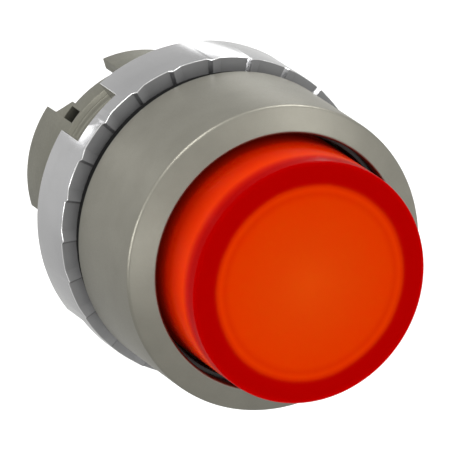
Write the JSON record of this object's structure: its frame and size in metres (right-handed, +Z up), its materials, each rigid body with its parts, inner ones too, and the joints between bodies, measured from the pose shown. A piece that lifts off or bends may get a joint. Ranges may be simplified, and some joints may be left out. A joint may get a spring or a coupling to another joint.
{
  "type": "illuminated push button head",
  "caption": "Raised round push button head with a translucent red cap in a satin metal bezel, threaded barrel, toothed ring nut and bayonet lugs for a panel hole.",
  "frame": {"origin": "centre of the panel hole on the panel's front face, which is the back face of the panel gasket", "axes": "+Y runs along the button's axis into the panel, so the cap faces -Y and is pressed towards +Y; +Z is up and +X is to the right seen from the front"},
  "size_m": [0.031, 0.0412, 0.031],
  "materials": {
    "satin_metal": "satin, fine-blasted and plated",
    "cast_metal": "as-cast satin",
    "bright_metal": "polished plating over machined metal",
    "zinc_plate": "zinc plated sheet",
    "spring_steel": "drawn spring steel",
    "black_rubber": "matt moulded rubber",
    "gloss_rubber": "smooth glossy moulded rubber",
    "gloss_black": "glossy moulded plastic",
    "black_plastic": "moulded plastic",
    "white_plastic": "moulded plastic",
    "milky_plastic": "translucent moulded plastic",
    "red_lens": "clear red polycarbonate, polished"
  },
  "bodies": {
    "housing": {"bezel": "satin_metal", "guide_bush": "gloss_black", "wiper_seal": "gloss_rubber", "seal_clamp_ring": "zinc_plate", "barrel": "cast_metal", "bezel_seal": "black_rubber", "panel_gasket": "black_rubber", "rear_guide": "black_plastic", "guide_circlip": "spring_steel"},
    "button": {"lens_cap": "red_lens", "lens_seal": "black_rubber", "diffuser": "milky_plastic", "reflector": "white_plastic", "plunger": "white_plastic", "plunger_seal": "black_rubber", "spring_washer": "spring_steel", "pusher_ring": "black_plastic", "pusher_clip": "spring_steel", "return_spring": "spring_steel"},
    "nut": {"ring_nut": "bright_metal"}
  },
  "joints": [
    {"name": "button_press", "type": "slide", "parent": "housing", "child": "button", "axis": [0, 1, 0], "range_m": [0, 0.005], "stiffness_N_per_m": 600, "springref_m": -0.004, "deforming": ["return_spring"]},
    {"name": "nut_travel", "type": "slide", "parent": "housing", "child": "nut", "axis": [0, 1, 0], "range_m": [0, 0.006]}
  ]
}
